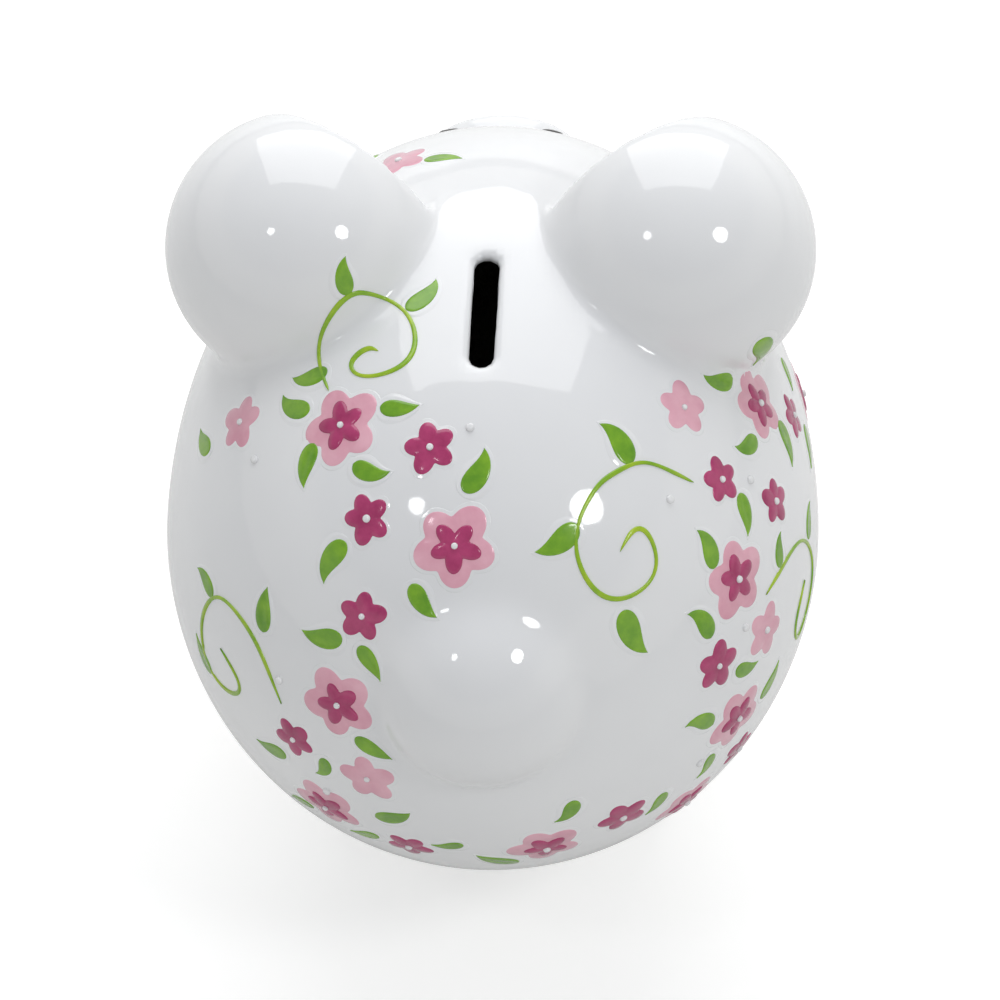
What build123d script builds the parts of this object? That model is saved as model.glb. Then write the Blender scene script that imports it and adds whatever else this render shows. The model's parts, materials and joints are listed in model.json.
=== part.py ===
"""A large glazed stoneware piggy bank with round cupped ears and a rubber belly stopper.

Millimetres. +Z is up and the snout faces -Y. The origin is on the ground, under the middle of the
bank. Each ceramic piece is cast on its own, trimmed to sit on the body and joined with slip.
"""

from build123d import *
from math import cos, radians, sin, sqrt
import os

os.makedirs("parts", exist_ok=True)

# Body: an egg, round across and longer in front of its widest section than behind it
body_radius = 90.0
front_length = 121.0
rear_length = 96.0
widest_y = 14.5
body_z = 103.0
wall = 5.0
belly_z = 16.0  # the flat on the belly that the stopper closes against

# Coin slot, along the back
slot_length = 35.0
slot_width = 6.5
slot_y = widest_y - 11
slot_lip = 2.0

# Stopper and its hole in the belly flat
stopper_y = 5.0
hole_radius = 17.0
running_gap = 0.05
flange_radius = 20.0
flange_thickness = 3.0
plug_height = 11.0
plug_wall = 4.0
bead_height = 3.0
neck_depth = 0.6
grip_radius = 13.0
grip_bar = 5.0
grip_depth = 1.6

# Ears: hollow balls, dished on the side that faces forward and inward
ear_radius = 37.0
ear_x = 51.0
ear_y = widest_y - 42.5
ear_z = body_z + 73.0
ear_inward = 0.53
ear_forward = 0.83
ear_upward = 0.17
dish_radius = 27.0
dish_bottom = 4.0  # from the ball's centre towards the open side
ear_rim = 4.0

# Tail: a low round dome on the rump, the outer part of a hollow ball
tail_radius = 32.0
tail_rise = 11.0  # how far it stands out from the egg
tail_back = 86.0  # from the widest section back to the middle of the dome
tail_tilt = 28.0

# Snout: an oval pad with two nostrils
snout_width = 43.0
snout_height = 34.0
snout_front = 7.5  # how far it stands out from the tip of the egg
snout_z = body_z + 4.0
snout_edge = 4.0
nostril_spacing = 14.0
nostril_width = 6.0
nostril_height = 10.0
nostril_depth = 3.0

# Feet: four short stubs
foot_radius = 14.0
foot_flare = 4.0
foot_edge = 3.0
foot_x = 36.0
front_foot_y = -44.0
rear_foot_y = 38.0
foot_top = 60.0

# Small holes through the body that let air out of the hollow ears and tail in the kiln
vent_radius = 2.5

body_axis = Axis((0, widest_y, body_z), (0, 1, 0))
body_section = Plane(origin=(0, widest_y, body_z), x_dir=(0, 1, 0), z_dir=(1, 0, 0))


def half_egg(inset):
    """Half of the egg's long section, made smaller all round by inset."""
    radius = body_radius - inset
    with BuildSketch(body_section) as section:
        with BuildLine():
            front = EllipticalCenterArc((0, 0), front_length - inset, radius, 90, arc_size=90)
            rear = EllipticalCenterArc((0, 0), rear_length - inset, radius, 0, arc_size=90)
            Line(front @ 1, rear @ 0)
        make_face()
    return section.sketch


# The whole outside of the body, solid: it also trims the pieces that sit on it
with BuildPart() as outside:
    add(half_egg(0))
    revolve(axis=body_axis)
    split(bisect_by=Plane.XY.offset(belly_z), keep=Keep.TOP)

# The space for the coins, with a flat floor around the stopper hole
with BuildPart() as inside:
    add(half_egg(wall))
    revolve(axis=body_axis)
    split(bisect_by=Plane.XY.offset(belly_z + wall), keep=Keep.TOP)

# Where the ears and the tail stand
ear_facing = Vector(-ear_inward, -ear_forward, ear_upward).normalized()
ear_plane = Plane(origin=(ear_x, ear_y, ear_z), x_dir=(0, ear_upward, ear_forward), z_dir=ear_facing)
tail_shrink = sqrt(1 - (tail_back / rear_length) ** 2)
tail_seat = Vector(0, widest_y + tail_back, body_z + body_radius * tail_shrink)
tail_facing = Vector(0, cos(radians(tail_tilt)), sin(radians(tail_tilt)))
tail_centre = tail_seat - tail_facing * (tail_radius - tail_rise)

vent_starts = (
    Plane(origin=(ear_x, ear_y, ear_z), z_dir=(-ear_x, 0, body_z - ear_z)),
    Plane(origin=(-ear_x, ear_y, ear_z), z_dir=(ear_x, 0, body_z - ear_z)),
    Plane(origin=tail_seat + tail_facing * 2, z_dir=-tail_facing),
)

with BuildPart() as body_shell:
    add(outside.part)
    add(inside.part, mode=Mode.SUBTRACT)
    with BuildSketch(Plane.XY.offset(body_z)):
        with Locations((0, slot_y)):
            SlotOverall(slot_length, slot_width, rotation=90)
    extrude(amount=body_radius + 1, mode=Mode.SUBTRACT)
    slot_edges = edges().filter_by_position(Axis.Z, body_z + body_radius - 3, body_z + body_radius)
    fillet(slot_edges, slot_lip)
    with BuildSketch(Plane.XY.offset(belly_z - 1)):
        with Locations((0, stopper_y)):
            Circle(hole_radius)
    extrude(amount=wall + 2, mode=Mode.SUBTRACT)
    for start in vent_starts:
        with BuildSketch(start):
            Circle(vent_radius)
        extrude(amount=ear_radius, mode=Mode.SUBTRACT)
body_shell.part.label = "body_shell"

# The ear's hollow keeps one wall thickness behind the ball and behind the dish
dish_plane = ear_plane.offset(dish_bottom + dish_radius)
with BuildPart() as ear_hollow:
    with Locations(ear_plane):
        Sphere(ear_radius - wall)
    with Locations(dish_plane):
        Sphere(dish_radius + wall, mode=Mode.SUBTRACT)

with BuildPart() as left_ear:
    with Locations(ear_plane):
        Sphere(ear_radius)
    with Locations(dish_plane):
        Sphere(dish_radius, mode=Mode.SUBTRACT)
    rim = edges().filter_by(GeomType.CIRCLE).sort_by(Axis(ear_plane.origin, ear_facing))[-1]
    fillet(rim, ear_rim)
    add(ear_hollow.part, mode=Mode.SUBTRACT)
    add(outside.part, mode=Mode.SUBTRACT)
left_ear.part.label = "left_ear"

with BuildPart() as right_ear:
    mirror(left_ear.part, about=Plane.YZ)
right_ear.part.label = "right_ear"

with BuildPart() as tail:
    with Locations(tail_centre):
        Sphere(tail_radius)
        Sphere(tail_radius - wall, mode=Mode.SUBTRACT)
    add(outside.part, mode=Mode.SUBTRACT)
tail.part.label = "tail"

snout_y = widest_y - front_length - snout_front
with BuildPart() as snout:
    with BuildSketch(Plane(origin=(0, snout_y, snout_z), x_dir=(1, 0, 0), z_dir=(0, -1, 0))):
        Ellipse(snout_width / 2, snout_height / 2)
    extrude(amount=-4 * snout_front)
    fillet(faces().sort_by(Axis.Y)[0].edges(), snout_edge)
    with BuildSketch(Plane(origin=(0, snout_y, snout_z), x_dir=(1, 0, 0), z_dir=(0, -1, 0))):
        with GridLocations(nostril_spacing, 1, 2, 1):
            Ellipse(nostril_width / 2, nostril_height / 2)
    extrude(amount=-nostril_depth, mode=Mode.SUBTRACT)
    add(outside.part, mode=Mode.SUBTRACT)
snout.part.label = "snout"


def foot(x, y):
    """A stub that flares upward from its flat sole and ends on the body."""
    with BuildPart() as stub:
        with BuildSketch():
            with Locations((x, y)):
                Circle(foot_radius)
        extrude(amount=foot_top, taper=-foot_flare)
        fillet(faces().sort_by(Axis.Z)[0].edges(), foot_edge)
        add(outside.part, mode=Mode.SUBTRACT)
    return stub.part


feet = {
    "front_left_foot": foot(foot_x, front_foot_y),
    "front_right_foot": foot(-foot_x, front_foot_y),
    "rear_left_foot": foot(foot_x, rear_foot_y),
    "rear_right_foot": foot(-foot_x, rear_foot_y),
}
for name, piece in feet.items():
    piece.label = name

# The rubber stopper: a flange under the belly flat and a hollow plug with a bead at its top
flange_top = belly_z - running_gap
plug_radius = hole_radius - running_gap
neck_radius = plug_radius - neck_depth
with BuildPart() as belly_stopper:
    with BuildSketch(Plane(origin=(0, stopper_y, flange_top), x_dir=(1, 0, 0), z_dir=(0, -1, 0))):
        with BuildLine():
            Polyline(
                (0, -flange_thickness),
                (flange_radius - 1, -flange_thickness),
                (flange_radius, 1 - flange_thickness),
                (flange_radius, 0),
                (plug_radius, 0),
                (plug_radius, wall),
                (neck_radius, wall + neck_depth),
                (neck_radius, plug_height - bead_height - neck_depth),
                (plug_radius, plug_height - bead_height),
                (plug_radius, plug_height - 1),
                (plug_radius - 1, plug_height),
                (plug_radius - plug_wall, plug_height),
                (plug_radius - plug_wall, 1),
                (0, 1),
                close=True,
            )
        make_face()
    revolve(axis=Axis((0, stopper_y, 0), (0, 0, 1)))
    with BuildSketch(Plane.XY.offset(flange_top - flange_thickness)):
        with Locations((0, stopper_y)):
            Circle(grip_radius)
            Rectangle(grip_bar, 3 * grip_radius, mode=Mode.SUBTRACT)
    extrude(amount=grip_depth, mode=Mode.SUBTRACT)
belly_stopper.part.label = "belly_stopper"

pieces = (body_shell.part, left_ear.part, right_ear.part, tail.part, snout.part, belly_stopper.part)
for piece in (*pieces, *feet.values()):
    export_step(piece, f"parts/{piece.label}.step")
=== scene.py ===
"""A glazed piggy bank with raised enamel flowers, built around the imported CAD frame.

The castings are shown as one continuous glazed skin, described by a distance function in millimetres
(`skin`), which is meshed once. Every painted flower, leaf, vine and pearl is a small closed, domed mesh
laid on that skin. Places on the body are given as two angles: `around`, from the top of the back
towards the pig's left, and `along`, from the widest section towards the tail.
"""

import json
import math

import bpy
import numpy as np
from mathutils import Matrix, Vector


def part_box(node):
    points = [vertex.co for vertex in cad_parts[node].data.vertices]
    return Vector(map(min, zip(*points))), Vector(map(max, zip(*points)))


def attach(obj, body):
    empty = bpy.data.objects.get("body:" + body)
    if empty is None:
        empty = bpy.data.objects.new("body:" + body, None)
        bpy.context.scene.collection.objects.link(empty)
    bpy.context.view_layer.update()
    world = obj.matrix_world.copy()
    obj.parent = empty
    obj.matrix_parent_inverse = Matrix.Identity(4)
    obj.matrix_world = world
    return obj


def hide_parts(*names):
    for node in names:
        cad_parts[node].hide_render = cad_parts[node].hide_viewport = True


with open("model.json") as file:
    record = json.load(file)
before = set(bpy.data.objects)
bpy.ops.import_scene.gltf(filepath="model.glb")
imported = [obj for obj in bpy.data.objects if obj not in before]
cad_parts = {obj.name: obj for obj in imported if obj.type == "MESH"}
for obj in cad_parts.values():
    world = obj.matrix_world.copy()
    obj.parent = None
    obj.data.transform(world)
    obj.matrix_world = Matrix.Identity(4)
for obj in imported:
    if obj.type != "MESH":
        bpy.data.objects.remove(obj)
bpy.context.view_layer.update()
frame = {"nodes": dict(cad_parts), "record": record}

MM = 0.001  # the scene is in metres, the shapes below are in millimetres
dice = np.random.default_rng(11)


def node_box(node):
    """The low and high corners of a CAD piece, in millimetres."""
    low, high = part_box(node)
    return np.array(low) / MM, np.array(high) / MM


def unit(vector):
    vector = np.asarray(vector, float)
    return vector / np.linalg.norm(vector)


# ---------------------------------------------------------------- sizes, taken from the frame
# Creases are filled, and edges rounded, over the widths called FILLET, CREASE, EDGE, RIM and LIP
body_low, body_high = node_box("body_shell")
RADIUS = (body_high[0] - body_low[0]) / 2
FRONT_SHARE = 121 / 217  # of the egg's length, in front of its widest section
FRONT = (body_high[1] - body_low[1]) * FRONT_SHARE
REAR = (body_high[1] - body_low[1]) - FRONT
SLOT_BITE = 0.15  # the slot's rounded edge takes this much off the top of the CAD egg
CENTRE = np.array([0.0, body_low[1] + FRONT, body_high[2] - RADIUS + SLOT_BITE])
EGG_EASE = 26.0  # half the length over which the long front half turns into the short rear half
BELLY = body_low[2]
BELLY_EDGE = 3.0
WALL = 5.0
WALL_EDGE = 1.0

EAR_RADIUS = 37.0
EAR = node_box("left_ear")[1] - EAR_RADIUS  # the middle of the ball
EAR_FACING = unit((-0.53, -0.83, 0.17))
DISH_RADIUS = 27.0
DISH_BOTTOM = 4.0
EAR_RIM = 6.0
EAR_FILLET = 8.0

TAIL_RADIUS = 31.0
TAIL_INSET = 1.5  # from the rearmost point of the CAD's dome to that of this smaller one
TAIL_ABOVE_BELLY = 120.5
TAIL = np.array([0.0, node_box("tail")[1][1] - TAIL_RADIUS - TAIL_INSET, BELLY + TAIL_ABOVE_BELLY])
TAIL_UPWARD = np.array([0.0, -0.5, 0.85])  # across the dome, from its sharp crease to its soft one
TAIL_CREASE = 2.2
TAIL_FILLET = 7.0
TAIL_MIDWAY = 0.35  # how far the crease has softened at the level of the dome's middle

snout_low, snout_high = node_box("snout")
SNOUT_Z = (snout_low[2] + snout_high[2]) / 2
SNOUT_RADII = np.array([snout_high[0], snout_high[2] - SNOUT_Z])
SNOUT_FRONT = snout_low[1]
SNOUT_EDGE = 7.0
SNOUT_FILLET = 4.0
NOSTRIL = np.array([7.0, SNOUT_FRONT, SNOUT_Z + 1])
NOSTRIL_SIZE = np.array([3.2, 3.0, 5.2])
NOSTRIL_EDGE = 2.0

soles = [np.array(m["pos_m"]) / MM for m in frame["record"]["mounts"]]
FRONT_SOLE, REAR_SOLE = soles[0], soles[2]  # those on the left; the right ones mirror them
FOOT_RADIUS = 14.0
FOOT_FLARE = math.tan(math.radians(4))
FOOT_EDGE = 6.0
FOOT_FILLET = 11.0

slot_box = next(o for o in frame["record"]["physics"]["openings"] if o["name"] == "coin_slot")["box_m"]
SLOT_FORWARD = 1.0  # cut by hand: a little forward, a little off the middle and a little turned
SLOT_Y = (slot_box[0][1] + slot_box[1][1]) / 2 / MM - SLOT_FORWARD
SLOT_X = 0.4
SLOT_TURN = math.radians(1.2)
SLOT_LENGTH = 36.6
SLOT_WIDTH = 5.9
SLOT_LIP = 6.0

stopper_low, stopper_high = node_box("belly_stopper")
HOLE = (stopper_low + stopper_high) / 2
HOLE_RADIUS = 17.0
HOLE_EDGE = 1.5


# ---------------------------------------------------------------- the shape of the glazed skin
def length(vectors):
    return np.sqrt((vectors * vectors).sum(-1))


def ease(t):
    """0 below 0, 1 above 1, with no jump in slope or curvature between."""
    t = np.clip(t, 0, 1)
    return t * t * t * (t * (6 * t - 15) + 10)


def union(a, b, width):
    """Two shapes as one, with the crease between them filled over about this width."""
    near = np.maximum(width - np.abs(a - b), 0) / width
    return np.minimum(a, b) - near**3 * width / 6


def cut(a, b, width):
    """The first shape without the second, with the edge rounded over about this width."""
    return -union(-a, b, width)


def oval(q, radii):
    """Nearly the distance to an ellipse or ellipsoid round the origin."""
    outer = length(q / radii)
    inner = length(q / radii**2)
    return outer * (outer - 1) / np.maximum(inner, 1e-9)


def egg(p, inset=0.0):
    """Two half ellipsoids, the long one in front, with an eased passage between them."""
    rearward = ease((p[..., 1] - CENTRE[1]) / (2 * EGG_EASE) + 0.5)
    half_length = FRONT + (REAR - FRONT) * rearward
    across = np.full_like(half_length, RADIUS)
    return oval(p - CENTRE, np.stack([across, half_length, across], -1) - inset)


def ear(p):
    """The left ear: a ball, dished on the side it faces."""
    ball = length(p - EAR) - EAR_RADIUS
    dish = length(p - EAR - EAR_FACING * (DISH_BOTTOM + DISH_RADIUS)) - DISH_RADIUS
    return cut(ball, dish, EAR_RIM)


def snout(p):
    """An oval pad with its left nostril, reaching back to the body's widest section."""
    pad = oval(np.stack([p[..., 0], p[..., 2] - SNOUT_Z], -1), SNOUT_RADII)
    pad = cut(pad, p[..., 1] - SNOUT_FRONT, SNOUT_EDGE)
    pad = cut(pad, oval(p - NOSTRIL, NOSTRIL_SIZE), NOSTRIL_EDGE)
    return np.maximum(pad, p[..., 1] - CENTRE[1])


def foot(p, sole):
    """A stub that flares upward from its sole."""
    radius = FOOT_RADIUS + p[..., 2] * FOOT_FLARE
    side = np.hypot(p[..., 0] - abs(sole[0]), p[..., 1] - sole[1]) - radius
    return cut(side, p[..., 2], FOOT_EDGE)


def skin(p):
    """The outside of the bank, before the slot and the stopper hole are cut."""
    left = np.stack([np.abs(p[..., 0]), p[..., 1], p[..., 2]], -1)  # both sides are alike
    shape = cut(egg(p), p[..., 2] - BELLY, BELLY_EDGE)
    upward = (p - TAIL) @ TAIL_UPWARD
    soft = ease(TAIL_MIDWAY + upward / TAIL_RADIUS)
    fillet = TAIL_CREASE + (TAIL_FILLET - TAIL_CREASE) * soft
    shape = union(shape, length(p - TAIL) - TAIL_RADIUS, fillet)
    shape = union(shape, ear(left), EAR_FILLET)
    shape = union(shape, snout(left), SNOUT_FILLET)
    low = p[..., 2] < CENTRE[2]
    for sole in (FRONT_SOLE, REAR_SOLE):
        shape = np.where(low, union(shape, foot(left, sole), FOOT_FILLET), shape)
    return shape


def slot(p):
    """The coin slot, with round ends and upright sides."""
    x, y = p[..., 0] - SLOT_X, p[..., 1] - SLOT_Y
    across = x * math.cos(SLOT_TURN) - y * math.sin(SLOT_TURN)
    lengthways = y * math.cos(SLOT_TURN) + x * math.sin(SLOT_TURN)
    past_end = np.maximum(np.abs(lengthways) - (SLOT_LENGTH - SLOT_WIDTH) / 2, 0)
    return np.maximum(np.hypot(across, past_end) - SLOT_WIDTH / 2, CENTRE[2] - p[..., 2])


def coin_space(p):
    return np.maximum(egg(p, WALL), BELLY + WALL - p[..., 2])


def casting(p):
    """The whole ceramic: the skin, hollow inside, with its two openings."""
    shape = cut(skin(p), coin_space(p), WALL_EDGE)
    shape = cut(shape, slot(p), SLOT_LIP)
    hole = np.hypot(p[..., 0] - HOLE[0], p[..., 1] - HOLE[1]) - HOLE_RADIUS
    return cut(shape, np.maximum(hole, p[..., 2] - CENTRE[2]), HOLE_EDGE)


def slope(shape, p, reach=0.02):
    """The gradient of a shape's distance at each point."""
    parts = []
    for axis in np.eye(3) * reach:
        parts.append((shape(p + axis) - shape(p - axis)) / (2 * reach))
    return np.stack(parts, -1)


def settle(shape, p, rounds):
    """Moves points onto the surface of a shape."""
    for _ in range(rounds):
        g = slope(shape, p)
        p = p - g * (shape(p) / np.maximum((g * g).sum(-1), 1e-6))[:, None]
    return p


# ---------------------------------------------------------------- meshing
def surface_net(value, low, step):
    """Points and quads of the zero surface of a grid of values: one point per crossed cell."""
    shape = np.array(value.shape)
    inside = value < 0
    total = np.zeros((value.size, 3))
    count = np.zeros(value.size)
    quads = []
    for axis in range(3):
        others = [(axis + 1) % 3, (axis + 2) % 3]
        first = [slice(1, -1)] * 3
        first[axis] = slice(0, -1)
        second = list(first)
        second[axis] = slice(1, None)
        start_in = inside[tuple(first)]
        a, b = value[tuple(first)], value[tuple(second)]
        index = np.argwhere(start_in != inside[tuple(second)])
        picked = tuple(index.T)
        share = a[picked] / (a[picked] - b[picked])
        leaving = start_in[picked]
        index[:, others] += 1
        crossing = index.astype(float)
        crossing[:, axis] += share
        ring = []
        for u, v in ((0, 0), (1, 0), (1, 1), (0, 1)):
            cell = index.copy()
            cell[:, others[0]] -= u
            cell[:, others[1]] -= v
            flat = np.ravel_multi_index(cell.T, shape)
            ring.append(flat)
            count += np.bincount(flat, minlength=value.size)
            for k in range(3):
                total[:, k] += np.bincount(flat, crossing[:, k], minlength=value.size)
        ring = np.stack(ring, -1)
        quads.append(np.where(leaving[:, None], ring, ring[:, ::-1]))
    used = np.flatnonzero(count)
    points = low + step * total[used] / count[used, None]
    number = np.full(value.size, -1)
    number[used] = np.arange(len(used))
    return points, number[np.concatenate(quads)]


def mesh_casting(step):
    """The casting as points, quads and exact normals."""
    margin = 3 * step
    low = np.array([-RADIUS, SNOUT_FRONT, 0.0]) - margin
    high = np.array([RADIUS, TAIL[1] + TAIL_RADIUS, EAR[2] + EAR_RADIUS]) + margin
    axes = [np.arange(low[k], high[k], step) for k in range(3)]
    layers = []
    for x in axes[0]:
        y, z = np.meshgrid(axes[1], axes[2], indexing="ij")
        layers.append(casting(np.stack([np.full_like(y, x), y, z], -1)))
    points, quads = surface_net(np.stack(layers), low, step)
    points = settle(casting, points, rounds=3)
    pairs = np.concatenate([quads[:, (k, (k + 1) % 4)] for k in range(4)])
    for _ in range(3):  # even out the quads, keeping them on the surface
        total = np.zeros_like(points)
        for k in range(3):
            total[:, k] = np.bincount(pairs[:, 0], points[pairs[:, 1], k], len(points))
        near = total / np.bincount(pairs[:, 0], minlength=len(points))[:, None]
        points = settle(casting, (points + near) / 2, rounds=1)
    points = settle(casting, points, rounds=2)
    return points, quads, slope(casting, points)


def add_piece(name, points, faces, materials, slots=None, normals=None):
    """A new mesh object in the scene, riding on the bank. Points are in millimetres."""
    mesh = bpy.data.meshes.new(name)
    mesh.from_pydata((np.asarray(points) * MM).tolist(), [], [list(map(int, f)) for f in faces])
    for material in materials:
        mesh.materials.append(material)
    if slots is not None:
        mesh.polygons.foreach_set("material_index", np.asarray(slots, np.int32))
    mesh.polygons.foreach_set("use_smooth", np.ones(len(mesh.polygons), bool))
    mesh.update()
    if normals is not None:
        lengths = np.linalg.norm(normals, axis=1)[:, None]
        mesh.normals_split_custom_set_from_vertices((normals / lengths).tolist())
    piece = bpy.data.objects.new(name, mesh)
    bpy.context.scene.collection.objects.link(piece)
    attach(piece, "bank")
    return piece


# ---------------------------------------------------------------- materials
MIX_SHARE, MIX_FIRST, MIX_SECOND = 0, 6, 7  # sockets of a Mix node for colours
MIXED = 2  # its output


def new_material(name):
    """An empty node material: (material, a function that adds nodes, a function that links them)."""
    material = bpy.data.materials.new(name)
    material.use_nodes = True
    tree = material.node_tree
    tree.nodes.clear()

    def add(kind, **values):
        node = tree.nodes.new("ShaderNode" + kind)
        for key, value in values.items():
            if hasattr(node, key):
                setattr(node, key, value)
            else:
                node.inputs[key.replace("_", " ")].default_value = value
        return node

    def link(source, output, target, inlet):
        tree.links.new(source.outputs[output], target.inputs[inlet])

    return material, add, link


def colour_ramp(add, *stops):
    """A ramp through some (place, colour) stops."""
    ramp = add("ValToRGB")
    elements = ramp.color_ramp.elements
    while len(elements) < len(stops):
        elements.new(0.5)
    for element, (place, colour) in zip(elements, stops):
        element.position = place
        element.color = (*colour, 1.0)
    return ramp


def noise(add, link, where, scale, detail=3.0, roughness=0.5):
    """Noise in object space, with scale in features per metre."""
    node = add("TexNoise", Scale=scale, Detail=detail, Roughness=roughness)
    link(where, "Object", node, "Vector")
    return node


def mottle(add, link, where, dark, light, scale, detail):
    """A colour that drifts between two tints, with scale in features per metre."""
    tint = colour_ramp(add, (0.3, dark), (0.7, light))
    link(noise(add, link, where, scale, detail), "Fac", tint, "Fac")
    return tint


def show(add, link, shader):
    """Makes a shader the material's surface."""
    link(shader, "BSDF", add("OutputMaterial"), "Surface")


def bumps(add, link, shader, heights):
    """Bump layers, each (noise, distance in metres, strength), stacked under one shader."""
    below = None
    for height, distance, strength in heights:
        bump = add("Bump", Strength=strength, Distance=distance)
        link(height, "Fac", bump, "Height")
        if below:
            link(below, "Normal", bump, "Normal")
        below = bump
    link(below, "Normal", shader, "Normal")


def speck_colour(add, link, where):
    """White, with a few tiny grey-brown specks where a second noise lets them through."""
    cells = add("TexVoronoi", Scale=150.0)
    link(where, "Object", cells, "Vector")
    dots = colour_ramp(add, (0.0, (0.45, 0.42, 0.38)), (0.02, (0.62, 0.6, 0.57)), (0.035, (1, 1, 1)))
    link(cells, "Distance", dots, "Fac")
    places = colour_ramp(add, (0.66, (0, 0, 0)), (0.7, (1, 1, 1)))
    link(noise(add, link, where, 40, 1), "Fac", places, "Fac")
    specks = add("Mix", data_type="RGBA")
    specks.inputs[MIX_FIRST].default_value = (1, 1, 1, 1)
    link(places, "Color", specks, MIX_SHARE)
    link(dots, "Color", specks, MIX_SECOND)
    return specks


def bare_soles(add, link, where):
    """1 on the lowest millimetre or so of the bank, with an uneven edge, and 0 above it."""
    split = add("SeparateXYZ")
    link(where, "Object", split, "Vector")
    edge = add("Math", operation="MULTIPLY_ADD")
    edge.inputs[1].default_value = 0.0012
    link(noise(add, link, where, 300, 2), "Fac", edge, 0)
    link(split, "Z", edge, 2)
    bare = add("Math", operation="LESS_THAN")
    bare.inputs[1].default_value = 0.0013
    link(edge, "Value", bare, 0)
    return bare


def glaze_material():
    """White earthenware under a clear gloss glaze, left bare on the soles of the feet."""
    material, add, link = new_material("white_glaze")
    where = add("TexCoord")
    shader = add("BsdfPrincipled", IOR=1.52)
    tint = mottle(add, link, where, (0.83, 0.835, 0.845), (0.875, 0.88, 0.885), 14, 4)
    speckled = add("Mix", data_type="RGBA", blend_type="MULTIPLY")
    speckled.inputs[MIX_SHARE].default_value = 1.0
    link(tint, "Color", speckled, MIX_FIRST)
    link(speck_colour(add, link, where), MIXED, speckled, MIX_SECOND)
    bare = bare_soles(add, link, where)
    colour = add("Mix", data_type="RGBA")
    colour.inputs[MIX_SECOND].default_value = (0.78, 0.72, 0.63, 1)
    link(bare, "Value", colour, MIX_SHARE)
    link(speckled, MIXED, colour, MIX_FIRST)
    link(colour, MIXED, shader, "Base Color")
    rough = add("Math", operation="MULTIPLY_ADD")
    rough.inputs[1].default_value = 0.7
    rough.inputs[2].default_value = 0.05
    link(bare, "Value", rough, 0)
    link(rough, "Value", shader, "Roughness")
    bumps(add, link, shader, [
        (noise(add, link, where, 26, 2), 0.0012, 0.5),
        (noise(add, link, where, 75, 1), 0.0002, 0.5),
        (noise(add, link, where, 240, 2), 0.00003, 0.5),
    ])
    show(add, link, shader)
    return material


def shaded_bisque_material():
    """The unglazed inside of the casting, coloured far darker than the same clay bare at the soles: painted
    shade in the hollow.
    """
    material, add, link = new_material("shaded_bisque")
    where = add("TexCoord")
    shader = add("BsdfPrincipled", Roughness=0.85)
    # Painted shade: a dark tint for the inside, which is seen only through the slot and the stopper hole
    tint = mottle(add, link, where, (0.30, 0.28, 0.25), (0.38, 0.36, 0.33), 60, 5)
    link(tint, "Color", shader, "Base Color")
    bumps(add, link, shader, [(noise(add, link, where, 900, 4), 0.0003, 0.6)])
    show(add, link, shader)
    return material


def enamel_material(name, dark, light, patch=160.0, roughness=0.16, coat=0.3):
    """Thick glossy enamel put on by hand: uneven in depth of colour, with faint brush lines, and with
    painted shade that darkens its colour where it turns away from the view.
    """
    material, add, link = new_material(name)
    where = add("TexCoord")
    shader = add("BsdfPrincipled", Roughness=roughness, IOR=1.5, Coat_Weight=coat, Coat_Roughness=0.05)
    uneven = noise(add, link, where, patch, 4, 0.6)
    tint = colour_ramp(add, (0.32, dark), (0.68, light))
    link(uneven, "Fac", tint, "Fac")
    # Painted shade: the colour is darkened by up to 28% where the enamel faces away from the view
    layer = add("LayerWeight", Blend=0.35)
    grazing_shade = add("Mix", data_type="RGBA", blend_type="MULTIPLY")
    grazing_shade.inputs[MIX_SECOND].default_value = (0.72, 0.72, 0.72, 1)
    link(layer, "Facing", grazing_shade, MIX_SHARE)
    link(tint, "Color", grazing_shade, MIX_FIRST)
    link(grazing_shade, MIXED, shader, "Base Color")
    strokes = noise(add, link, where, 900, 2)
    bumps(add, link, shader, [(uneven, 0.0002, 0.35), (strokes, 0.00003, 0.4)])
    show(add, link, shader)
    return material


def rubber_material():
    """Soft white rubber with a fine moulded texture."""
    material, add, link = new_material("stopper_rubber")
    where = add("TexCoord")
    shader = add("BsdfPrincipled", Roughness=0.6, IOR=1.5, Sheen_Weight=0.15)
    tint = mottle(add, link, where, (0.60, 0.60, 0.57), (0.72, 0.72, 0.69), 90, 5)
    link(tint, "Color", shader, "Base Color")
    grain = noise(add, link, where, 2200, 3)
    bumps(add, link, shader, [(grain, 0.0001, 0.5)])
    show(add, link, shader)
    return material


def floor_material():
    """Matt white paper, faintly mottled, that the camera sees brighter than it lights the bank."""
    material, add, link = new_material("white_paper")
    where = add("TexCoord")
    shader = add("BsdfPrincipled", Roughness=0.9, Specular_IOR_Level=0.1)
    tint = mottle(add, link, where, (0.81, 0.805, 0.79), (0.84, 0.835, 0.82), 3, 3)
    link(tint, "Color", shader, "Base Color")
    shader.inputs["Emission Color"].default_value = (1, 1, 1, 1)
    seen = add("LightPath")
    glow = add("Math", operation="MULTIPLY")
    glow.inputs[1].default_value = 0.42
    link(seen, "Is Camera Ray", glow, 0)
    link(glow, "Value", shader, "Emission Strength")
    show(add, link, shader)
    return material


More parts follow.
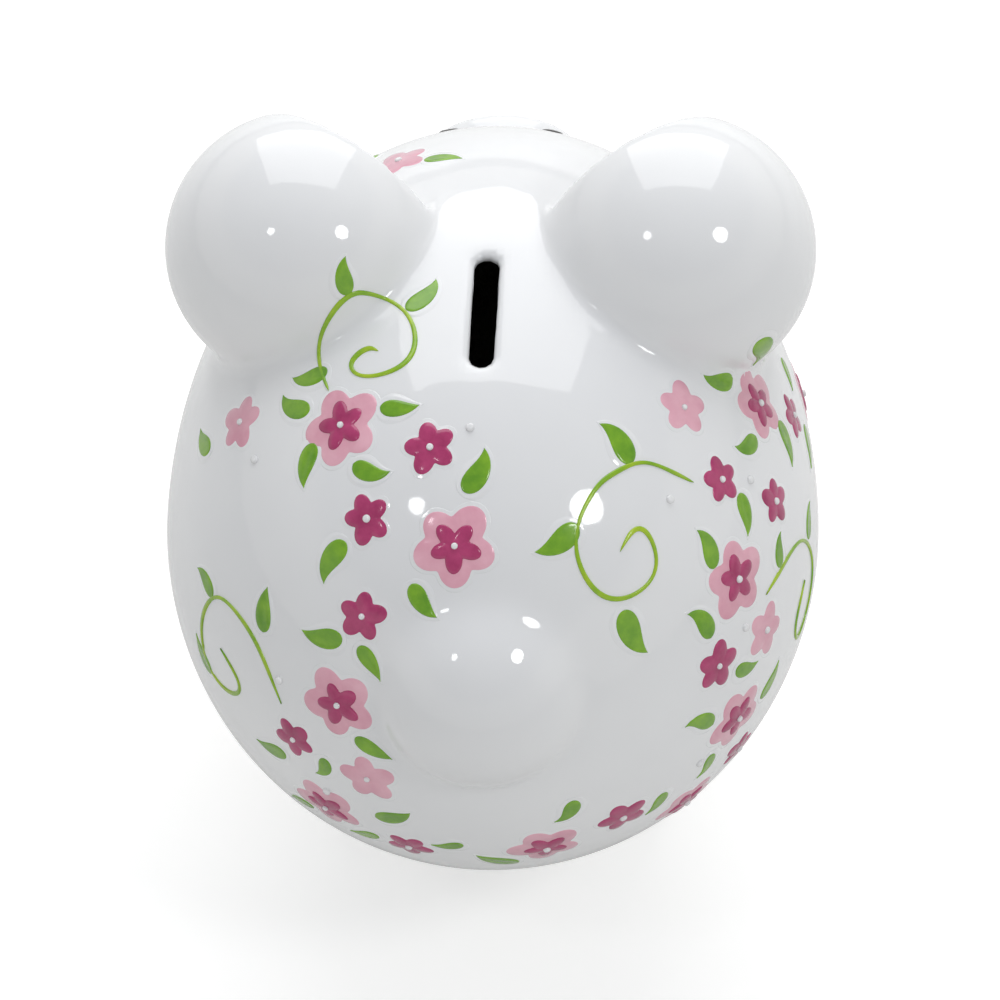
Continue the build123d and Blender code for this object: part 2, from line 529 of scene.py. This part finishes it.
GLAZE = glaze_material()
SHADED_BISQUE = shaded_bisque_material()
LEAF = enamel_material("leaf_enamel", (0.13, 0.34, 0.012), (0.25, 0.50, 0.02))
VINE = enamel_material("vine_enamel", (0.17, 0.42, 0.012), (0.44, 0.62, 0.02), patch=110.0)
ROSE = enamel_material("rose_enamel", (0.39, 0.028, 0.125), (0.54, 0.058, 0.19))
BLUSH = enamel_material("blush_enamel", (0.79, 0.36, 0.46), (0.91, 0.51, 0.60), patch=90.0)
PEARL = enamel_material("pearl_enamel", (0.84, 0.84, 0.85), (0.92, 0.92, 0.92))
FACE = enamel_material(
    "face_enamel", (0.012, 0.009, 0.008), (0.030, 0.022, 0.019), roughness=0.3, coat=0.0
)
RUBBER = rubber_material()


# ---------------------------------------------------------------- enamel shapes, flat and in millimetres
SUNK = -0.25  # how far the underside of the enamel lies below the glaze
# Where the rings of points lie, as shares of the way from a patch's core to its outline
RINGS = (0.0, 0.2, 0.4, 0.55, 0.7, 0.8, 0.88, 0.94, 0.98, 1.0)
STROKE_RINGS = (0.0, 0.5, 0.8, 0.95, 1.0)
UNDERSIDE_RINGS = (1.0, 0.8, 0.55, 0.3, 0.0)
STEPS_BETWEEN = 8  # along a stroke, between two of the points it is drawn through
STROKE_SMOOTHING = 22
LEAF_PLUMP = 0.23  # half a leaf's width over its length


def dome(core, outline, height, rings=RINGS, feathered=False):
    """A closed, thick patch: flat points (n, 2), a height for each, and faces.

    core and outline hold one point each per step round the patch, and height is the thickness there.
    A feathered patch runs out thinly at its edge, and any other ends in a round shoulder.
    """
    steps = len(outline)
    flat, tall = [], []
    for share in rings:
        flat.append(core + (outline - core) * share)
        level = height.mean() + (height - height.mean()) * share
        profile = min(1, 5 * (1 - share)) ** 1.5 if feathered else (1 - share**4) ** 0.5
        tall.append(level * profile)
    for share in UNDERSIDE_RINGS:
        flat.append(core + (outline - core) * share)
        tall.append(np.full(steps, SUNK))
    flat, tall = np.concatenate(flat), np.concatenate(tall)
    here = np.arange(steps)
    after = np.roll(here, -1)
    faces = []
    for k in range(len(rings) + len(UNDERSIDE_RINGS) - 1):
        low, high = k * steps, (k + 1) * steps
        faces.append(np.stack([low + here, high + here, high + after, low + after], -1))
    # Points that coincide, such as all of a core's, become one, so that the patch is closed
    keys = np.round(np.column_stack([flat, tall]), 3)
    _, first, merged = np.unique(keys, axis=0, return_index=True, return_inverse=True)
    merged = merged.reshape(-1)
    clean = []
    for face in merged[np.concatenate(faces)]:
        corners = list(dict.fromkeys(face.tolist()))
        if len(corners) > 2:
            clean.append(corners)
    return flat[first], tall[first], clean


def pick_petals():
    """Five petals, each with its share of the full size and how far it leans."""
    return [(dice.uniform(0.93, 1.05), dice.uniform(-0.07, 0.07)) for _ in range(5)]


def blossom(petals, radius, plump, turn, height, feathered=False):
    """A hand-painted flower: oval petals joined at the middle.

    plump is half a petal's width as a share of its length, and turn is in degrees.
    """
    angle = np.linspace(0, 2 * math.pi, 18 * len(petals), endpoint=False)
    reach = np.zeros_like(angle)
    for k, (share, lean) in enumerate(petals):
        off = angle - (k + lean) * 2 * math.pi / len(petals)
        ahead = np.maximum(np.cos(off), 0)
        narrow = np.sin(off) ** 2 / (2 * plump) ** 2
        reach = np.maximum(reach, radius * share * ahead / (ahead**2 + narrow))
    round_it = np.array([0.25, 0.5, 0.25])
    reach = np.convolve(np.concatenate([reach[-1:], reach, reach[:1]]), round_it, "valid")
    heading = angle + math.radians(turn)
    outline = np.column_stack([reach * np.cos(heading), reach * np.sin(heading)])
    thick = height * (0.5 + 0.5 * reach / radius)
    return dome(np.zeros_like(outline), outline, thick, feathered=feathered)


def there_and_back(values):
    """The values along a line, out and back again, with each end once."""
    return np.concatenate([values, values[-2:0:-1]])


def both_sides(line, side):
    """The outline round a line: out along one side of it and back along the other."""
    return np.concatenate([line + side, (line - side)[-2:0:-1]])


def leaf(size, turn, bend, height=0.5, plump=LEAF_PLUMP, feathered=False):
    """A comma-shaped leaf: a round end, a pointed tip and a bend that grows towards the tip."""
    t = (1 - np.cos(np.linspace(0, math.pi, 22))) / 2
    heading = math.radians(turn) + math.radians(bend) * 1.3 * (t**2 - 0.35)
    step = np.diff(t, prepend=0) * size
    spine = np.column_stack([np.cumsum(step * np.sin(heading)), np.cumsum(step * np.cos(heading))])
    spine -= spine[len(t) // 2]
    half = size * plump * 2.58 * t**0.5 * (1 - t)  # 2.58 brings the widest place to size * plump
    side = np.column_stack([np.cos(heading), -np.sin(heading)]) * half[:, None]
    thick = height * (half / half.max()) ** 0.5
    return dome(there_and_back(spine), both_sides(spine, side), there_and_back(thick), feathered=feathered)


def spot_of_paint(radius, height, stretch=1.0):
    """A round or oval drop of enamel."""
    angle = np.linspace(0, 2 * math.pi, 24, endpoint=False)
    outline = np.column_stack([radius * np.cos(angle), radius * stretch * np.sin(angle)])
    return dome(np.zeros_like(outline), outline, np.full(len(angle), height))


def smooth_line(points):
    """A line through a few points, as a rounded curve with some steps between each two of them."""
    ends = np.vstack([2 * points[0] - points[1], points, 2 * points[-1] - points[-2]])
    t = np.linspace(0, 1, STEPS_BETWEEN, endpoint=False)[:, None]
    run = []
    for a, b, c, d in zip(ends, ends[1:], ends[2:], ends[3:]):
        quadratic = 2 * a - 5 * b + 4 * c - d
        cubic = 3 * b - a - 3 * c + d
        run.append(0.5 * (2 * b + (c - a) * t + quadratic * t**2 + cubic * t**3))
    run = np.vstack([*run, points[-1:]])
    for _ in range(STROKE_SMOOTHING):
        run[1:-1] = (run[:-2] + 2 * run[1:-1] + run[2:]) / 4
    return run


def stroke(points, width, height):
    """A brush line through a few points, thinner at both ends and never quite even."""
    run = smooth_line(np.asarray(points, float))
    along = np.linspace(0, 1, len(run))
    ahead = np.gradient(run, axis=0)
    ahead /= np.linalg.norm(ahead, axis=1)[:, None]
    taper = np.minimum(1, np.minimum(along, 1 - along) * 14 + 0.12) ** 0.5
    half = width / 2 * taper * (1 + 0.18 * np.sin(along * 21 + dice.uniform(0, 6)))
    side = np.column_stack([ahead[:, 1], -ahead[:, 0]]) * half[:, None]
    outline = both_sides(run, side)
    outline[0] = run[0] - ahead[0] * half[0]
    outline[len(run) - 1] = run[-1] + ahead[-1] * half[-1]
    return dome(there_and_back(run), outline, there_and_back(height * taper), STROKE_RINGS)


# ---------------------------------------------------------------- laying enamel on the skin
CLEARANCE = 30.0  # a dropped shape starts this far above the body
FALL_ROUNDS = 30
FALL_SHARE = 0.9  # of the distance to the skin, in each round
STRIDES = 8
paint = {}  # piece name: [points, faces, material, record slot]


def on_body(around, along):
    """A spot on the body by two angles in degrees: (origin, towards the pig's left, tailward, outward)."""
    a, b = math.radians(around), math.radians(along)
    half_length = REAR if along > 0 else FRONT
    ring = np.array([math.sin(a), 0.0, math.cos(a)])
    origin = CENTRE + ring * RADIUS * math.cos(b) + np.array([0, half_length * math.sin(b), 0])
    outward = unit(ring * math.cos(b) / RADIUS + np.array([0, math.sin(b) / half_length, 0]))
    left = np.array([math.cos(a), 0.0, -math.sin(a)])
    return origin, left, np.cross(outward, left), outward


def drop(spot, flat):
    """Lowers flat points onto the skin, all in the direction the spot faces."""
    origin, left, tailward, outward = spot
    points = origin + flat[:, :1] * left + flat[:, 1:] * tailward + outward * CLEARANCE
    for _ in range(FALL_ROUNDS):
        points = points - outward * (skin(points) * FALL_SHARE)[:, None]
    return points


def wrap(spot, flat):
    """Lays flat points round the skin from the spot, each reached in short strides along the surface."""
    origin, left, tailward, outward = spot
    far = length(flat)[:, None]
    ahead = (flat[:, :1] * left + flat[:, 1:] * tailward) / np.maximum(far, 0.01)
    points = np.repeat(origin[None], len(flat), 0)
    for _ in range(STRIDES):
        points = points + ahead * far / STRIDES
        g = slope(skin, points)
        steep = length(g)[:, None]
        points = points - g / steep**2 * skin(points)[:, None]
        ahead = ahead - g / steep**2 * (ahead * g).sum(-1)[:, None]
        ahead = ahead / np.maximum(length(ahead)[:, None], 0.01)
    return points


def beside(spot, shift=(0.0, 0.0)):
    """A spot on the skin, some flat millimetres from another one, turned to face the way the skin does."""
    origin = drop(spot, np.array([shift]))
    outward = unit(slope(skin, origin)[0])
    left = unit(spot[1] - outward * spot[1].dot(outward))
    return origin[0], left, np.cross(outward, left), outward


def lay(piece, material, slot_name, spot, shape, base=0.0, place=wrap):
    """Puts a flat shape on the skin at a spot and adds it to a piece."""
    flat, tall, faces = shape
    points = place(spot, flat)
    normals = slope(skin, points)
    points = points + normals / length(normals)[:, None] * (tall + base)[:, None]
    entry = paint.setdefault(piece, [[], [], material, slot_name])
    start = sum(len(p) for p in entry[0])
    entry[0].append(points)
    entry[1] += [[start + corner for corner in face] for face in faces]


HALO_HEIGHT = 0.4
ROSE_HEIGHT = 0.6
PLUMPNESS = {"halo": 0.4, "rose": 0.36, "blush": 0.38}  # half a petal's width over its length
INNER_SHARE, INNER_PLUMP = 0.62, 0.31  # of the small flower on top of a halo
PEARL_HEIGHT = 0.8
PEARL_BASE = {"halo": HALO_HEIGHT + 0.4, "rose": 0.4, "blush": 0.25}  # above the skin
SWELL = 1.1  # how far the clear glaze runs out round each painted shape
SWELL_HEIGHT = 0.18
VINE_WIDTH, VINE_HEIGHT = 1.22, 0.42


def swell_glaze(spot, shape):
    lay("glaze_swellings", GLAZE, "glazed_ceramic", spot, shape)


def paint_flower(kind, around, along, size, turn):
    """A flower of one colour, or a blush halo with a rose on top; each has a pearl in its middle."""
    spot = beside(on_body(around, along))
    petals = pick_petals()
    plump = PLUMPNESS[kind]
    pearl = spot_of_paint(dice.uniform(0.85, 1.15), PEARL_HEIGHT)
    swell_glaze(spot, blossom(petals, size + SWELL, plump + 0.02, turn, SWELL_HEIGHT, feathered=True))
    if kind == "rose":
        lay("rose_petals", ROSE, "rose_enamel", spot, blossom(petals, size, plump, turn, ROSE_HEIGHT))
    else:
        lay("blush_petals", BLUSH, "blush_enamel", spot, blossom(petals, size, plump, turn, HALO_HEIGHT))
    if kind == "halo":
        inner_petals = pick_petals()
        inner_turn = turn + dice.uniform(-6, 3)
        top = blossom(inner_petals, size * INNER_SHARE, INNER_PLUMP, inner_turn, ROSE_HEIGHT)
        lay("rose_petals", ROSE, "rose_enamel", spot, top, base=HALO_HEIGHT - 0.1)
    lay("pearls", PEARL, "pearl_enamel", spot, pearl, base=PEARL_BASE[kind])


def paint_leaf(spot, size, turn, bend):
    plump = LEAF_PLUMP + SWELL / size
    swell_glaze(spot, leaf(size + 2 * SWELL, turn, bend, SWELL_HEIGHT, plump, feathered=True))
    lay("leaves", LEAF, "leaf_enamel", spot, leaf(size, turn, bend))


def paint_vine(spot, points, leaves):
    """A curling tendril, with its leaves as (place, size, turn, bend) in the same flat millimetres."""
    lay("vines", VINE, "leaf_enamel", spot, stroke(points, VINE_WIDTH, VINE_HEIGHT), place=drop)
    for place, size, turn, bend in leaves:
        paint_leaf(beside(spot, place), size, turn, bend)


# ---------------------------------------------------------------- the painted design
# Flowers: kind, around, along (degrees), size (the longest petal, mm), turn (degrees)
FLOWERS = (
    # from behind the left ear, down the left of the back and round under the tail
    ("blush", 47, 4, 8.1, 32),
    ("halo", 25, 12, 11.4, 66),
    ("rose", 9, 18, 7.5, 66),
    ("rose", 22, 28, 7.1, 63),
    ("halo", 5, 34, 11.6, 19),
    ("rose", 28, 43, 7.0, 26),
    ("halo", 47, 55, 11.0, 41),
    ("rose", 73, 54, 6.8, 25),
    ("blush", 65, 68, 8.6, 3),
    ("halo", 102, 61, 10.8, 61),
    ("rose", 129, 73, 7.0, 40),
    ("halo", -130, 76, 10.6, 66),
    ("rose", -102, 65, 7.6, 26),
    ("halo", -114, 49, 10.6, 40),
    # up the right flank to the right ear
    ("rose", -103, 39, 6.6, 51),
    ("halo", -86, 41, 10.8, 9),
    ("rose", -65, 40, 7.4, 26),
    ("blush", -73, 29, 8.0, 15),
    ("halo", -57, 27, 11.0, 31),
    ("rose", -46, 14, 6.6, 22),
    ("rose", -61, 11, 6.8, 17),
    ("blush", -36, 5, 8.0, 69),
    ("halo", -54, -3, 10.6, 33),
    ("rose", -67, -7, 6.6, 38),
    ("halo", -82, -18, 10.4, 12),
    # between the ears, and on both cheeks
    ("blush", 23, -41, 9.0, 9),
    ("rose", 104, -22, 7.0, 12),
    ("halo", 118, -12, 10.6, 30),
    ("rose", 133, -21, 6.8, 50),
    ("rose", -102, -24, 6.8, 20),
    ("blush", -115, -16, 7.4, 44),
    ("halo", -130, -25, 10.4, 5),
)
# Single leaves: around, along, length (mm), turn of the tip from tailward towards the pig's left, bend
LEAVES = (
    (59, 2, 12, 150, 35), (35, 6, 12.5, 130, 55), (33, 17, 12.5, 25, -30), (14, 11, 11, -85, -25),
    (20, 21, 11.5, -68, -50), (0, 22, 13.5, -155, -45), (32, 33, 13.5, 50, -45), (13, 43, 11.5, -30, -35),
    (52, 35, 13, -137, 15), (41, 44, 13, 120, 35), (30, 51, 11, -15, 10), (48, 65, 11.5, -23, -10),
    (87, 50, 12, 155, 30), (77, 61, 9.5, 95, 60), (110, 53, 10, 170, -30), (90, 75, 12.5, -34, -30),
    (120, 65, 10.5, 175, 25), (140, 80, 9.5, -150, 45), (-174, 76, 14, -50, 25), (-82, 75, 11, -50, 65),
    (-103, 58, 10.5, -70, 50), (-97, 48, 10, -65, 70), (-74, 48, 12, 50, -50), (-88, 31, 12, 152, -35),
    (-75, 36, 10.5, -137, -40), (-53, 36, 12.5, 98, -55), (-47, 25, 12.5, 127, -45), (-54, 17, 12, -40, 30),
    (-51, 6, 11.5, 48, 50), (-64, -1, 13.5, -40, 40), (-76, -6, 13, -20, 30), (-43, -2, 12, 70, 50),
    (-68, -14, 10, -28, 30), (-38, 44, 15, -56, -40), (11, -39, 11.4, -80, 25),
    (38, -50, 11, 138, -40), (95, -14, 11, 60, -45), (124, -24, 11, 160, 45), (112, -29, 11, -60, 40),
    (140, -11, 11, -20, -45), (-94, -17, 11, -60, 45), (-121, -30, 11, -160, -45), (-122, -10, 11, 30, 40),
    (-140, -16, 11, 10, -40),
)
# Single pearls: around, along
PEARLS = ((2, 15), (-53, 11), (-36, 21), (-66, 32), (44, 12), (60, 46), (-92, 50), (90, 62), (126, -4))

# A spot low on the back of the right ear, with its second axis downwards
ear_back = unit((-0.62, 0.76, -0.17))
ear_back_down = unit(np.cross(ear_back, np.cross((0, 0, -1), ear_back)))
EAR_LEAF = (
    EAR * (-1, 1, 1) + ear_back * EAR_RADIUS,
    np.cross(ear_back_down, ear_back),
    ear_back_down,
    ear_back,
)

# Seen from behind and above, the plane in which the tendril by the left ear is laid
EAR_VIEW = (
    on_body(21, -2)[0],
    np.array([1.0, 0, 0]),
    np.array([0, 0.84, -0.55]),
    np.array([0, 0.55, 0.84]),
)
# Tendrils: spot, the points it is drawn through (mm), and its leaves
VINES = (
    (
        EAR_VIEW,
        (
            (9, 13), (12, 6), (12, -2), (5, -12), (-1, -13), (-11, -9),
            (-14.5, 0), (-11, 7), (0, 10), (4, 6), (-1, 1.5), (-4, 2.5),
        ),
        (((5.5, -17.5), 11, 175, 40), ((-16.5, -12.5), 13, -140, -45), ((15, 10), 12, 95, 45)),
    ),
    (
        on_body(-30, 28),
        (
            (-15, -18), (-6, -19), (2, -19), (9, -13), (13, -8), (16, 6),
            (8, 17), (-2, 19), (-11, 9), (-5, -1), (0, -1), (2, 6),
        ),
        (((9, -23), 14, 132, -45), ((19, 9), 14, 40, 40)),
    ),
    (
        on_body(71, 36),
        ((-6, 21), (-15, 6), (-13, -9), (-6, -15), (8, -13), (17, -3), (11, 8), (3, 8), (2, -3)),
        (((-7, -20), 11, 170, -35), ((15, -9), 12, -160, 30)),
    ),
    (
        on_body(-80, 17),
        ((18, 14), (15, -2), (7, -12), (-9, -11), (-16, 4), (-14, 8), (-6, 8), (-1, -3)),
        (((7, -18), 11, 162, 30), ((21, 1), 10, 143, 35)),
    ),
)


def paint_design():
    for flower in FLOWERS:
        paint_flower(*flower)
    for around, along, size, turn, bend in LEAVES:
        paint_leaf(beside(on_body(around, along)), size, turn, bend)
    paint_leaf(EAR_LEAF, 15, -2, 70)
    for place in PEARLS:
        lay("pearls", PEARL, "pearl_enamel", beside(on_body(*place)), spot_of_paint(1.2, 0.9))
    for vine in VINES:
        paint_vine(*vine)


# ---------------------------------------------------------------- the face
EYE_X, EYE_ABOVE = 14.5, 36.0  # from the body's long axis


def paint_face():
    """Two oval eyes, each with a white glint, above the snout and a smile below it."""
    around = math.degrees(math.atan2(EYE_X, EYE_ABOVE))
    along = -math.degrees(math.acos(math.hypot(EYE_X, EYE_ABOVE) / RADIUS))
    for side in (-1, 1):
        spot = beside(on_body(side * around, along))
        lay("eyes", FACE, "face_enamel", spot, spot_of_paint(3.2, 0.7, 1.35))
        glint = spot_of_paint(0.9, 0.35)
        lay("eye_glints", PEARL, "pearl_enamel", beside(spot, (0.9, 1.4)), glint, base=0.55)
    below = beside(on_body(180, -70))
    smile = [(x, 3.5 - 0.012 * x * x) for x in range(-18, 19, 6)]
    lay("smile", FACE, "face_enamel", below, stroke(smile, 1.3, 0.35))


# ---------------------------------------------------------------- building the pieces
STEP = 1.96  # of the grid that the casting is meshed from, in millimetres
INSIDE = 0.6  # a face counts as the coin space's when it is this close to that surface


def build_casting():
    points, quads, normals = mesh_casting(STEP)
    middles = points[quads].mean(1)
    hidden = (np.abs(coin_space(middles)) < INSIDE) & (skin(middles) < -WALL / 2)
    piece = add_piece("glazed_skin", points, quads, [GLAZE, SHADED_BISQUE], hidden, normals)
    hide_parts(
        "body_shell", "left_ear", "right_ear", "tail", "snout",
        "front_left_foot", "front_right_foot", "rear_left_foot", "rear_right_foot",
    )


def build_paint():
    paint_design()
    paint_face()
    for name, (points, faces, material, slot_name) in paint.items():
        piece = add_piece(name, np.concatenate(points), faces, [material])


build_casting()
build_paint()

stopper = frame["nodes"]["belly_stopper"]
stopper.data.materials.clear()
stopper.data.materials.append(RUBBER)


# ---------------------------------------------------------------- floor, light and camera
def build_floor():
    bpy.ops.mesh.primitive_plane_add(size=12)
    floor = bpy.context.object
    floor.name = "floor"
    floor.data.materials.append(floor_material())


LAMP_AIM = Vector((0, 0, 0.12))


def lamp_towards(name, direction, distance, power, size, height=None):
    """An area light that shines on the bank from a direction: a disc, or a rectangle if it has a height."""
    light = bpy.data.lights.new(name, "AREA")
    light.shape = "RECTANGLE" if height else "DISK"
    light.size = size
    if height:
        light.size_y = height
    light.energy = power
    lamp = bpy.data.objects.new(name, light)
    lamp.location = LAMP_AIM + Vector(direction).normalized() * distance
    lamp.rotation_euler = (LAMP_AIM - lamp.location).to_track_quat("-Z", "Y").to_euler()
    lamp.visible_camera = False
    bpy.context.scene.collection.objects.link(lamp)


def build_room():
    """A pale room: a bright band round the horizon and a dimmer, cooler ceiling."""
    world = bpy.data.worlds.new("studio")
    world.use_nodes = True
    tree = world.node_tree
    where = tree.nodes.new("ShaderNodeTexCoord")
    split = tree.nodes.new("ShaderNodeSeparateXYZ")
    tree.links.new(where.outputs["Generated"], split.inputs["Vector"])
    bands = tree.nodes.new("ShaderNodeValToRGB")
    low, high = bands.color_ramp.elements
    low.position, low.color = 0.42, (0.78, 0.775, 0.755, 1)
    high.position, high.color = 0.50, (0.37, 0.385, 0.41, 1)
    tree.links.new(split.outputs["Z"], bands.inputs["Fac"])
    tree.links.new(bands.outputs["Color"], tree.nodes["Background"].inputs["Color"])
    bpy.context.scene.world = world


def build_light():
    build_room()
    lamp_towards("window", (0, -0.76, 0.65), distance=1.5, power=16.5, size=1.5, height=1.7)
    lamp_towards("umbrella", (-0.56, 0.27, 0.79), distance=1.6, power=3.4, size=0.32)
    lamp_towards("far_umbrella", (0.41, 0.32, 0.86), distance=1.6, power=0.7, size=0.16)


CAMERA_AROUND = 183.8
CAMERA_ABOVE = 56.9
CAMERA_ROLL = -2.64
CAMERA_DISTANCE = 1.6
CAMERA_AIM = Vector((-0.0023, CENTRE[1] * MM, 0.117))
SENSOR_WIDTH = 36  # mm, as for the lens
LENS_PER_WIDTH = 5.826


def build_camera():
    camera_data = bpy.data.cameras.new("camera")
    camera_data.sensor_width = SENSOR_WIDTH
    camera_data.lens = SENSOR_WIDTH * LENS_PER_WIDTH
    camera = bpy.data.objects.new("camera", camera_data)
    a, e = math.radians(CAMERA_AROUND), math.radians(CAMERA_ABOVE)
    back = Vector((math.sin(a) * math.cos(e), -math.cos(a) * math.cos(e), math.sin(e)))
    camera.location = CAMERA_AIM + back * CAMERA_DISTANCE
    roll = Matrix.Rotation(math.radians(CAMERA_ROLL), 4, "Z")
    turned = back.to_track_quat("Z", "Y").to_matrix().to_4x4() @ roll
    camera.rotation_euler = turned.to_euler()
    bpy.context.scene.collection.objects.link(camera)
    bpy.context.scene.camera = camera


build_floor()
build_light()
build_camera()
bpy.context.scene.view_settings.view_transform = "Standard"
